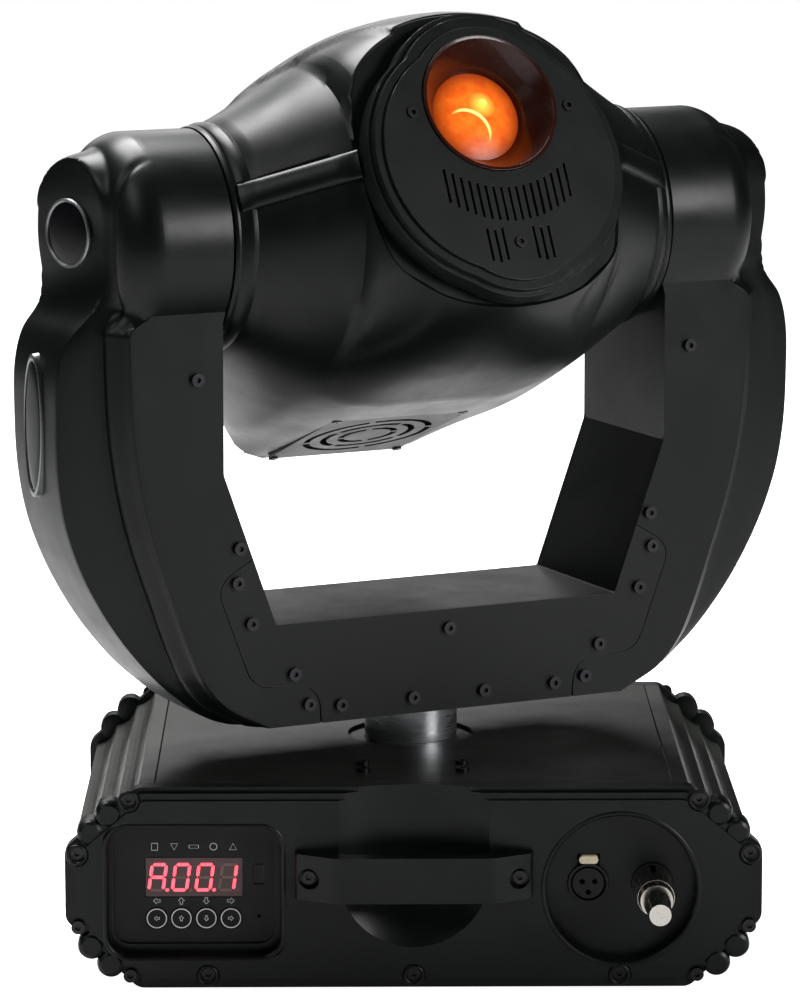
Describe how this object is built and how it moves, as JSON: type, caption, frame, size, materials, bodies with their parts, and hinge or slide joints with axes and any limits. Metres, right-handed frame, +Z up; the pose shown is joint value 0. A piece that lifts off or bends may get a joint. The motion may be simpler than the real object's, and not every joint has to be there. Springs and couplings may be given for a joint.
{
  "type": "moving head light",
  "caption": "Stage spotlight on a floor base: a belt-driven yoke pans on a chrome shaft and a lamp head tilts between its two arms.",
  "frame": {"origin": "centre of the base plate's underside, on the pan axis, in the middle of the four rigging holes", "axes": "+Z up along the pan axis, +X to the right of the base seen from its control panel, +Y towards the rear cover"},
  "size_m": [0.4144, 0.3583, 0.5067],
  "materials": {
    "black_steel": "satin powder coat",
    "black_moulding": "satin moulded",
    "base_side": "satin powder coat over aluminium extrusion",
    "black_screw": "black oxide",
    "rubber": "moulded",
    "panel_film": "printed overlay",
    "display_window": "tinted window over red digits",
    "button_cap": "printed key",
    "socket_black": "glass filled nylon",
    "latch_cream": "moulded",
    "plug_metal": "nickel plated",
    "chrome": "polished",
    "bare_metal": "machined",
    "motor_black": "satin",
    "belt_rubber": "toothed belt",
    "lens_glass": "coated glass lit from behind",
    "hood_black": "matt",
    "badge_gloss": "domed resin",
    "lamp_glass": "quartz",
    "reflector_mirror": "dichroic coated",
    "filter_glass": "dichroic filters in a ring",
    "fan_black": "glass filled nylon"
  },
  "bodies": {
    "base": {"base_bottom_plate": "black_steel", "base_top_plate": "black_steel", "base_side_left": "base_side", "base_side_right": "base_side", "base_front_cover": "black_moulding", "base_rear_cover": "black_moulding", "front_handle": "black_moulding", "rear_handle": "black_moulding", "base_screws": "black_screw", "rubber_feet": "rubber", "control_panel": "panel_film", "display_module": "display_window", "dmx_out_socket": "socket_black", "dmx_in_socket": "socket_black", "power_inlet": "socket_black", "ballast": "bare_metal", "pan_bearing": "bare_metal", "pan_motor": "motor_black", "pan_belt": "belt_rubber"},
    "yoke": {"yoke_frame": "black_steel", "yoke_front_plate": "black_steel", "yoke_rear_plate": "black_steel", "arm_cover_left": "black_moulding", "arm_cover_right": "black_moulding", "yoke_bolts": "black_screw", "arm_badges": "badge_gloss", "pan_shaft": "chrome", "pan_pulley": "bare_metal", "tilt_bearings": "bare_metal", "tilt_motor": "motor_black", "tilt_belt": "belt_rubber"},
    "head": {"head_upper_shell": "black_moulding", "head_lower_shell": "black_moulding", "side_rails": "black_moulding", "front_ring": "black_moulding", "front_plate": "black_steel", "head_screws": "black_screw", "lens_hood": "hood_black", "front_lens": "lens_glass", "rear_cover": "black_moulding", "head_chassis": "bare_metal", "tilt_axles": "bare_metal", "tilt_pulley": "bare_metal", "lamp": "lamp_glass", "reflector": "reflector_mirror", "wheel_motors": "motor_black", "fan_grille": "black_steel", "fan_frame": "fan_black"},
    "button_mode": {"button_mode": "button_cap"},
    "button_up": {"button_up": "button_cap"},
    "button_down": {"button_down": "button_cap"},
    "button_enter": {"button_enter": "button_cap"},
    "latch_tab": {"latch_tab": "latch_cream"},
    "dmx_plug": {"dmx_plug": "plug_metal"},
    "pan_pinion": {"pan_pinion": "bare_metal"},
    "tilt_pinion": {"tilt_pinion": "bare_metal"},
    "colour_wheel": {"colour_wheel": "filter_glass"},
    "gobo_wheel": {"gobo_wheel": "bare_metal"},
    "focus_carriage": {"focus_carriage": "bare_metal"},
    "fan_rotor": {"fan_rotor": "fan_black"}
  },
  "joints": [
    {"name": "pan", "type": "hinge", "parent": "base", "child": "yoke", "pos_m": [0, 0, 0.12], "axis": [0, 0, 1], "range_deg": [-295.5, 244.5]},
    {"name": "tilt", "type": "hinge", "parent": "yoke", "child": "head", "pos_m": [0, 0, 0.3845], "axis": [-0.9026, -0.4305, 0], "range_deg": [-70, 195]},
    {"name": "pan_pinion_spin", "type": "hinge", "parent": "base", "child": "pan_pinion", "pos_m": [0.088, 0.038, 0.07], "axis": [0, 0, 1], "range_deg": [-1190, 990]},
    {"name": "tilt_pinion_spin", "type": "hinge", "parent": "yoke", "child": "tilt_pinion", "pos_m": [-0.14261, -0.06802, 0.262], "axis": [-0.9026, -0.4305, 0], "range_deg": [-290, 790]},
    {"name": "colour_wheel_spin", "type": "hinge", "parent": "head", "child": "colour_wheel", "pos_m": [-0.00333, 0.00698, 0.37337], "axis": [0.3819, -0.8006, 0.4617], "continuous": true},
    {"name": "gobo_wheel_spin", "type": "hinge", "parent": "head", "child": "gobo_wheel", "pos_m": [0.00011, -0.00022, 0.37753], "axis": [0.3819, -0.8006, 0.4617], "continuous": true},
    {"name": "focus_slide", "type": "slide", "parent": "head", "child": "focus_carriage", "axis": [0.3819, -0.8006, 0.4617], "range_m": [-0.012, 0.012]},
    {"name": "fan_spin", "type": "hinge", "parent": "head", "child": "fan_rotor", "pos_m": [-0.02341, 0.04909, 0.26374], "axis": [-0.1573, 0.3297, 0.9309], "continuous": true},
    {"name": "latch_press", "type": "slide", "parent": "base", "child": "latch_tab", "axis": [0, 1, 0], "range_m": [0, 0.0015], "stiffness_N_per_m": 1000, "springref_m": -0.001},
    {"name": "plug_pull", "type": "slide", "parent": "base", "child": "dmx_plug", "axis": [0, -1, 0], "range_m": [0, 0.03]},
    {"name": "press_mode", "type": "slide", "parent": "base", "child": "button_mode", "axis": [0, 1, 0], "range_m": [0, 0.0005], "stiffness_N_per_m": 2000, "springref_m": -0.0005},
    {"name": "press_up", "type": "slide", "parent": "base", "child": "button_up", "axis": [0, 1, 0], "range_m": [0, 0.0005], "stiffness_N_per_m": 2000, "springref_m": -0.0005},
    {"name": "press_down", "type": "slide", "parent": "base", "child": "button_down", "axis": [0, 1, 0], "range_m": [0, 0.0005], "stiffness_N_per_m": 2000, "springref_m": -0.0005},
    {"name": "press_enter", "type": "slide", "parent": "base", "child": "button_enter", "axis": [0, 1, 0], "range_m": [0, 0.0005], "stiffness_N_per_m": 2000, "springref_m": -0.0005}
  ],
  "couplings": [
    {"joint": "pan_pinion_spin", "follows": "pan", "ratio": 4},
    {"joint": "tilt_pinion_spin", "follows": "tilt", "ratio": 4}
  ]
}
